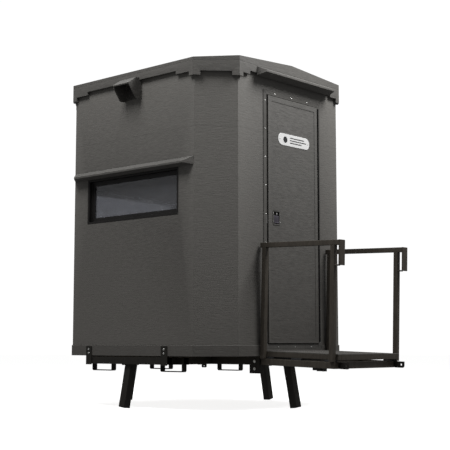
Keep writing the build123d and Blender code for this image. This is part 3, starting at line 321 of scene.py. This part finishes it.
BORDER_PAINT = painted_steel("border_paint", (0.034, 0.0325, 0.030), 0.5, 0.3)
DISH_PAINT = painted_steel("dish_paint", (0.020, 0.0195, 0.0185), 0.45, 0.5)
INK = painted_steel("plate_ink", (0.020, 0.020, 0.021), 0.5, 0.0)

# ---------------------------------------------------------------- pieces


def add_piece(name, mesh, body, slot, material=None):
    """Shows a mesh as a piece that rides on a body."""
    piece = bpy.data.objects.new(name, mesh)
    scene.collection.objects.link(piece)
    mesh.materials.clear()
    mesh.materials.append(material or MATERIALS[slot])
    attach(piece, body)
    return piece


def mesh_of(name, build):
    """A mesh from a function that fills a bmesh."""
    work = bmesh.new()
    build(work)
    bmesh.ops.recalc_face_normals(work, faces=work.faces)
    mesh = bpy.data.meshes.new(name)
    work.to_mesh(mesh)
    work.free()
    return mesh


def soften(mesh, width, segments=2, angle=28):
    """Rounds a mesh's edges and gives it even shading."""
    holder = bpy.data.objects.new("holder", mesh)
    scene.collection.objects.link(holder)
    mesh.shade_smooth()
    bevel = holder.modifiers.new("bevel", "BEVEL")
    bevel.width = width
    bevel.segments = segments
    bevel.limit_method = "ANGLE"
    bevel.angle_limit = radians(angle)
    bevel.use_clamp_overlap = True
    weighted = holder.modifiers.new("weighted", "WEIGHTED_NORMAL")
    weighted.keep_sharp = True
    bpy.context.view_layer.update()
    graph = bpy.context.evaluated_depsgraph_get()
    result = bpy.data.meshes.new_from_object(holder.evaluated_get(graph))
    bpy.data.objects.remove(holder)
    return result


WELD = 2e-5


def welded(node):
    """A CAD node's mesh with its doubled points merged and its flat faces joined."""
    work = bmesh.new()
    work.from_mesh(frame["nodes"][node].data)
    bmesh.ops.remove_doubles(work, verts=work.verts, dist=WELD)
    bmesh.ops.dissolve_limit(work, angle_limit=radians(0.6), verts=work.verts, edges=work.edges)
    mesh = bpy.data.meshes.new(node + "_soft")
    work.to_mesh(mesh)
    work.free()
    return mesh


def soft_edged(node, width, segments=2):
    """Stands a copy with rounded edges in for a CAD node."""
    mesh = soften(welded(node), width, segments)
    piece = add_piece(node + "_finish", mesh, NODE_BODY[node], NODE_SLOT[node])
    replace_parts(piece, node)
    return piece


def islands(node):
    """Each separate solid of a CAD node, as its lowest and highest corner, always in the same order."""
    work = bmesh.new()
    work.from_mesh(frame["nodes"][node].data)
    bmesh.ops.remove_doubles(work, verts=work.verts, dist=WELD)
    left = set(work.verts)
    found = []
    while left:
        todo = [left.pop()]
        group = []
        while todo:
            vert = todo.pop()
            group.append(vert.co.copy())
            for edge in vert.link_edges:
                other = edge.other_vert(vert)
                if other in left:
                    left.remove(other)
                    todo.append(other)
        low = Vector([min(co[i] for co in group) for i in range(3)])
        high = Vector([max(co[i] for co in group) for i in range(3)])
        found.append((low, high))
    work.free()
    return sorted(found, key=lambda corners: tuple(corners[0]))


# Every node takes its slot's material; the ones with worked edges get a rounded stand-in.
for node_name, node in frame["nodes"].items():
    node.data.materials.clear()
    node.data.materials.append(MATERIALS[NODE_SLOT[node_name]])

TUBE_ROUND = 0.003
SHEET_ROUND = 0.0012
PANEL_ROUND = 0.0016
SLAB_ROUND = 0.0025
FITTING_ROUND = 0.0007
for node_name in ("head_beams", "head_bars", "head_ties", "hanger_blocks", "porch_frame", "deck_frame",
                  "railing_left", "railing_right"):
    soft_edged(node_name, TUBE_ROUND)
for node_name in ("tie_plates", "porch_brackets", "porch_lugs", "lift_tabs", "fork_straps", "leg_plates",
                  "porch_pads", "latch_paddle", "latch_nose", "inside_knob", "strike", "name_plate"):
    soft_edged(node_name, SHEET_ROUND)
soft_edged("base_trim", TUBE_ROUND)
for node_name in ("fascia", "roof_shell", "vent_hood", "window_caps", "door_awning",
                  "door_frame", "latch_dish", "window_frames", "sash_left", "sash_right", "sash_back"):
    soft_edged(node_name, PANEL_ROUND)
bpy.data.objects["latch_dish_finish"].data.materials[0] = DISH_PAINT
slab = soft_edged("door_slab", SLAB_ROUND)

# The slab's raised border is a smoother, darker section than the sheet it frames.
SLAB_BORDER = 0.0435
slab_low, slab_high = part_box("door_slab")
slab.data.materials.append(BORDER_PAINT)
for face in slab.data.polygons:
    inside = min(face.center.x - slab_low.x, slab_high.x - face.center.x,
                 face.center.z - slab_low.z, slab_high.z - face.center.z)
    face.material_index = 1 if inside < SLAB_BORDER else 0

for node_name in ("hinge_door_leaf", "hinge_frame_leaf", "hinge_pin", "key_cylinder", "paddle_pin",
                  "window_hardware", "button_left", "button_right", "button_back"):
    soft_edged(node_name, FITTING_ROUND)


def ring_faces(work, loops):
    """Joins each closed loop of points to the next with a band of faces."""
    rows = [[work.verts.new(point) for point in loop] for loop in loops]
    for first, second in zip(rows, rows[1:]):
        count = len(first)
        for i in range(count):
            j = (i + 1) % count
            work.faces.new((first[i], first[j], second[j], second[i]))
    return rows


def rounded_square(half_u, half_v, radius, steps=4):
    """Points of a rounded rectangle, as pairs about its centre."""
    points = []
    for turn, (u, v) in enumerate(((1, 1), (-1, 1), (-1, -1), (1, -1))):
        for step in range(steps + 1):
            angle = pi / 2 * (turn + step / steps)
            across = u * (half_u - radius) + radius * cos(angle)
            upward = v * (half_v - radius) + radius * sin(angle)
            points.append((across, upward))
    return points


# Legs: one-piece square tubes, cut level at the top and square at the foot.
LEG_HALF = 0.035
LEG_BORE = 0.030
LEG_ROUND = 0.007
LEG_BORE_ROUND = 0.003
LEG_EDGE_ROUND = 0.0008
LEG_SPLAY = radians(11.3)
LEG_LENGTH = 0.3519
PLATE_GAP = 0.0002
LEG_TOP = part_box("leg_plates")[0].z - PLATE_GAP
# For each leg: the way it splays, and where it meets its plate, from the cabin's centre.
LEG_SPOTS = [
    ((-1, 0), (-0.862, 0.042)),
    ((1, 0), (0.862, 0.042)),
    ((0, 1), (0, 0.937)),
    ((0, -1), (0, -0.950)),
]


def leg_tubes(work):
    """Each leg as four rings: bore and outside at the top, outside and bore at the foot."""
    for (out_x, out_y), (x, y) in LEG_SPOTS:
        centre = Vector((CABIN.x + x, CABIN.y + y, LEG_TOP))
        out = Vector((out_x, out_y, 0))
        along = out * sin(LEG_SPLAY) - Vector((0, 0, cos(LEG_SPLAY)))
        across = out * cos(LEG_SPLAY) + Vector((0, 0, sin(LEG_SPLAY)))
        sideways = along.cross(across)
        loops = []
        for half, radius, foot in ((LEG_BORE, LEG_BORE_ROUND, False), (LEG_HALF, LEG_ROUND, False),
                                   (LEG_HALF, LEG_ROUND, True), (LEG_BORE, LEG_BORE_ROUND, True)):
            loop = []
            for u, v in rounded_square(half, half, radius):
                reach = LEG_LENGTH if foot else u * sin(LEG_SPLAY) / cos(LEG_SPLAY)
                loop.append(centre + across * u + sideways * v + along * reach)
            loops.append(loop)
        rows = ring_faces(work, loops)
        for i in range(len(rows[0])):
            j = (i + 1) % len(rows[0])
            work.faces.new((rows[3][i], rows[3][j], rows[0][j], rows[0][i]))


leg_mesh = soften(mesh_of("leg_tubes", leg_tubes), LEG_EDGE_ROUND, 1, 50)
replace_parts(add_piece("leg_tubes", leg_mesh, "cabin", "tower_steel"), "leg_stubs")


# Porch deck: a sheet of expanded metal in a flat rim, in the porch's own tilted frame.
PORCH = Matrix.Translation((CABIN.x + 0.043, skin_low.y, CABIN.z)) @ Matrix.Rotation(PORCH_TILT, 4, "X")
GRATE_HALF = 0.4175
GRATE_FRONT = -0.753
GRATE_BACK = -0.012
GRATE_LOW = -0.0498
GRATE_HIGH = -0.0438
GRATE_RIM = 0.0175
MESH_LONG = 0.040
MESH_SHORT = 0.020
STRAND_HALF = 0.0019
STRAND_GAUGE = 0.0014
STRAND_ABOVE_FOOT = 0.0003
STRAND_BELOW_TOP = 0.0002
GRATE_CORNER = 0.004
GRATE_ROUND = 0.0008


def grate_rim(work):
    """The flat rim round the sheet."""
    middle = (GRATE_FRONT + GRATE_BACK) / 2
    deep = (GRATE_BACK - GRATE_FRONT) / 2
    loops = []
    for inset, z in ((GRATE_RIM, GRATE_LOW), (0, GRATE_LOW), (0, GRATE_HIGH),
                     (GRATE_RIM, GRATE_HIGH), (GRATE_RIM, GRATE_LOW)):
        corners = rounded_square(GRATE_HALF - inset, deep - inset, GRATE_CORNER, 2)
        loops.append([PORCH @ Vector((u, middle + v, z)) for u, v in corners])
    ring_faces(work, loops)
    bmesh.ops.remove_doubles(work, verts=work.verts, dist=1e-6)


def grate_strands(work):
    """Slanted strands that zigzag across the sheet and meet their neighbours at each knuckle."""
    half_cell = MESH_LONG / 2
    cells = int(2 * (GRATE_HALF - GRATE_RIM) / half_cell)
    rows = int((GRATE_BACK - GRATE_FRONT - 2 * GRATE_RIM) / (MESH_SHORT / 2))
    first_y = (GRATE_FRONT + GRATE_BACK) / 2 - (rows - 1) / 2 * MESH_SHORT / 2
    swing = MESH_SHORT / 4 - STRAND_HALF
    for row in range(rows):
        loops = []
        for step in range(cells + 1):
            x = (step - cells / 2) * half_cell
            side = 1 if (row + step) % 2 == 0 else -1
            y = first_y + row * MESH_SHORT / 2 + side * swing
            near = y - STRAND_HALF
            far = y + STRAND_HALF
            low = GRATE_LOW + STRAND_ABOVE_FOOT
            high = GRATE_HIGH - STRAND_BELOW_TOP
            corners = ((near, low), (near + STRAND_GAUGE, low), (far, high), (far - STRAND_GAUGE, high))
            loops.append([PORCH @ Vector((x, y_at, z_at)) for y_at, z_at in corners])
        ends = ring_faces(work, loops)
        work.faces.new(ends[0])
        work.faces.new(ends[-1])


rim_mesh = soften(mesh_of("grate_rim", grate_rim), GRATE_ROUND, 1)
strand_mesh = mesh_of("grate_strands", grate_strands)
for piece_name, mesh in (("grate_rim", rim_mesh), ("grate_strands", strand_mesh)):
    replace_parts(add_piece(piece_name, mesh, "cabin", "grating"), "deck_grate")


# Fasteners: turned heads built on the places of the plain ones.
def head_frame(low, high):
    """Centre, outward axis, thickness and radius of a short round solid on the cabin's outside."""
    size = high - low
    axis = min(range(3), key=lambda i: abs(size[(i + 1) % 3] - size[(i + 2) % 3]))
    centre = (low + high) / 2
    out = Vector((0, 0, 0))
    out[axis] = 1.0 if centre[axis] > CABIN[axis] else -1.0
    return centre, out, size[axis], size[(axis + 1) % 3] / 2


def turned(work, centre, out, profile, sides):
    """Sweeps (radius, height) pairs round an axis; the first and last rings are filled."""
    spin = out.to_track_quat("Z", "Y").to_matrix()
    loops = []
    for radius, height in profile:
        loop = []
        for i in range(sides):
            angle = 2 * pi * i / sides
            loop.append(centre + spin @ Vector((radius * cos(angle), radius * sin(angle), height)))
        loops.append(loop)
    rows = ring_faces(work, loops)
    work.faces.new(rows[0])
    work.faces.new(rows[-1])


def screw_heads(node):
    """Low domed heads with a driven recess."""
    def build(work):
        for low, high in islands(node):
            centre, out, tall, radius = head_frame(low, high)
            foot = -tall / 2
            top = tall / 2
            profile = [(radius, foot), (radius, foot + tall * 0.35), (radius * 0.92, foot + tall * 0.68),
                       (radius * 0.72, foot + tall * 0.9), (radius * 0.42, top), (radius * 0.38, top),
                       (radius * 0.30, top - tall * 0.45)]
            turned(work, centre, out, profile, 18)
    return build


def hex_heads(work):
    """A washer, a hexagon with a chamfered crown and a shallow dish."""
    for low, high in islands("tower_bolts"):
        centre, out, tall, radius = head_frame(low, high)
        foot = -tall / 2
        washer = foot + tall * 0.28
        turned(work, centre, out, [(radius, foot), (radius, washer - 0.0004), (radius - 0.0004, washer),
                                   (radius * 0.5, washer)], 28)
        turned(work, centre, out, [(radius * 0.84, washer), (radius * 0.84, tall / 2 - 0.0014),
                                   (radius * 0.74, tall / 2), (radius * 0.45, tall / 2),
                                   (radius * 0.40, tall / 2 - 0.0006)], 6)


for node_name in ("frame_screws", "door_fasteners"):
    head_mesh = mesh_of(node_name + "_heads", screw_heads(node_name))
    screws = add_piece(node_name + "_heads", head_mesh, NODE_BODY[node_name], NODE_SLOT[node_name])
    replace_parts(screws, node_name)
bolts = add_piece("tower_bolt_heads", mesh_of("tower_bolt_heads", hex_heads), "cabin", "bright_metal")
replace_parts(bolts, "tower_bolts")


# Vent: woven wire in place of a solid sheet.
WIRE = 0.0008
WIRE_PITCH = 0.0085


def vent_mesh(work):
    """Wires both ways, each passing over and under the ones it crosses."""
    low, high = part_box("vent_screen")
    face = (low.x + high.x) / 2
    for axis, other in ((1, 2), (2, 1)):
        count = int((high[axis] - low[axis]) / WIRE_PITCH)
        span = int((high[other] - low[other]) / WIRE_PITCH)
        for wire in range(count + 1):
            loops = []
            for step in range(span + 1):
                weave = WIRE * (1 if (wire + step + axis) % 2 else -1)
                centre = Vector((face + weave, 0, 0))
                centre[axis] = low[axis] + (wire + 0.5) * (high[axis] - low[axis]) / (count + 1)
                centre[other] = low[other] + step * (high[other] - low[other]) / span
                loop = []
                for corner in range(5):
                    angle = 2 * pi * corner / 5
                    offset = Vector((WIRE * cos(angle), 0, 0))
                    offset[axis] = WIRE * sin(angle)
                    loop.append(centre + offset)
                loops.append(loop)
            ends = ring_faces(work, loops)
            work.faces.new(ends[0])
            work.faces.new(ends[-1])


screen = add_piece("vent_wires", mesh_of("vent_wires", vent_mesh), "cabin", "dark_metal")
screen.data.shade_smooth()
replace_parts(screen, "vent_screen")


# Name plate: a generic device, a disc and three rules with their left ends in line, inlaid on its face.
DISC_SHIFT = 0.118
RULE_SHIFT = 0.055
RULE_PITCH = 0.021
RULE_HALF_TALL = 0.0042
RULE_HALVES = (0.098, 0.112, 0.080)
INLAY_SUNK = 0.0004
INLAY_PROUD = 0.0003


def plate_device(work):
    """Three rounded rules beside a disc."""
    low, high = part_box("name_plate")
    middle = (low + high) / 2
    tall = high.z - low.z
    face = low.y
    for i, half in enumerate(RULE_HALVES):
        x = middle.x + RULE_SHIFT - (max(RULE_HALVES) - half)
        z = middle.z + (1 - i) * RULE_PITCH
        corners = rounded_square(half, RULE_HALF_TALL, RULE_HALF_TALL * 0.98, 5)
        loops = [[(x + u, y, z + v) for u, v in corners] for y in (face + INLAY_SUNK, face - INLAY_PROUD)]
        rows = ring_faces(work, loops)
        work.faces.new(rows[0])
        work.faces.new(rows[-1])
    turned(work, Vector((middle.x - DISC_SHIFT, face, middle.z)), Vector((0, -1, 0)),
           [(tall * 0.27, -INLAY_SUNK), (tall * 0.27, INLAY_PROUD)], 40)


add_piece("name_plate_device", mesh_of("name_plate_device", plate_device), "door", "plate", INK)


# Glazing: a rubber bead between each pane and its sash, inside and outside.
BEAD = 0.007
BEAD_SET = 0.0005
BEAD_CORNER = 0.006
BEAD_PROFILE = ((0, 0.0001), (0, 0.0028), (BEAD * 0.45, 0.0034), (BEAD, 0.0012), (BEAD, 0.0001))
for side, across in (("left", 1), ("right", 1), ("back", 0)):
    pane_low, pane_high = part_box("pane_" + side)

    def glazing(work, low=pane_low, high=pane_high, across=across):
        middle = (low + high) / 2
        depth = 1 - across
        half = (high[across] - low[across]) / 2 - BEAD_SET
        tall = (high.z - low.z) / 2 - BEAD_SET
        for sign, edge in ((-1, low[depth]), (1, high[depth])):
            loops = []
            for inset, lift in BEAD_PROFILE:
                loop = []
                for u, v in rounded_square(half - inset, tall - inset, BEAD_CORNER, 3):
                    point = Vector((0, 0, middle.z + v))
                    point[across] = middle[across] + u
                    point[depth] = edge + sign * lift
                    loop.append(point)
                loops.append(loop)
            loops.append(loops[0])
            ring_faces(work, loops)
        bmesh.ops.remove_doubles(work, verts=work.verts, dist=1e-6)

    bead_mesh = mesh_of("glazing_bead_" + side, glazing)
    bead_mesh.shade_smooth()
    add_piece("glazing_bead_" + side, bead_mesh, "window_" + side, "seal")

# ---------------------------------------------------------------- camera, light, stage

# A low view from the front left; lens and sensor in millimetres.
CAMERA_LENS = 85.2
CAMERA_SENSOR = 36
CAMERA_FROM_CABIN = Vector((-6.9829, -6.5088, 0.0085))
CAMERA_LOOKS_UP = radians(6.377)
CAMERA_TURN = radians(-48.074)

camera_data = bpy.data.cameras.new("camera")
camera_data.lens = CAMERA_LENS
camera_data.sensor_width = CAMERA_SENSOR
camera_data.clip_end = 100
camera = bpy.data.objects.new("camera", camera_data)
camera.location = CABIN + CAMERA_FROM_CABIN
camera.rotation_euler = (pi / 2 + CAMERA_LOOKS_UP, 0, CAMERA_TURN)
scene.collection.objects.link(camera)
scene.camera = camera


def softbox(name, place, target, size, power):
    """A square area light that faces a point."""
    data = bpy.data.lights.new(name, "AREA")
    data.energy = power
    data.size = size
    light = bpy.data.objects.new(name, data)
    light.location = place
    light.rotation_euler = (Vector(target) - Vector(place)).to_track_quat("-Z", "Y").to_euler()
    scene.collection.objects.link(light)


softbox("front_box", (1.0, -2.7, 5.1), (0.1, -0.6, 2.0), 1.8, 375)
softbox("left_box", (-3.5, 0.1, 6.4), (-0.8, 0.0, 2.2), 2.2, 440)
softbox("back_box", (3.6, 4.6, 5.0), (0.4, 1.0, 2.0), 3.0, 230)

# An even fill of soft white light from all round.
FILL_LIGHT = 0.33
world = bpy.data.worlds.new("world")
scene.world = world
world.use_nodes = True
world.node_tree.nodes["Background"].inputs["Color"].default_value = (1, 1, 1, 1)
world.node_tree.nodes["Background"].inputs["Strength"].default_value = FILL_LIGHT


def stage_piece(name, build, colour, glow):
    """A pale surface of the studio that only the camera sees, so it throws no light on the object."""
    shader = Shader(name, 0.9, specular=0.0)
    grain = shader.noise((0.4, 0.4, 0.4), detail=2)
    shader.colour(shader.mix(grain, shade(colour, 0.98), colour))
    shader.bsdf.inputs["Emission Color"].default_value = (1, 1, 1, 1)
    shader.bsdf.inputs["Emission Strength"].default_value = glow
    surface = bpy.data.objects.new(name, mesh_of(name, build))
    surface.data.materials.append(shader.material)
    surface.visible_diffuse = False
    surface.visible_glossy = False
    surface.visible_transmission = False
    surface.visible_shadow = False
    scene.collection.objects.link(surface)


DOME_RADIUS = 45
FLOOR_HALF = 40


def backdrop_dome(work):
    bmesh.ops.create_icosphere(work, subdivisions=4, radius=DOME_RADIUS)


def floor_sheet(work):
    bmesh.ops.create_grid(work, x_segments=1, y_segments=1, size=FLOOR_HALF)


stage_piece("stage_backdrop", backdrop_dome, (0.1, 0.1, 0.1), 1.0)
stage_piece("stage_floor", floor_sheet, (0.40, 0.40, 0.40), 0.86)
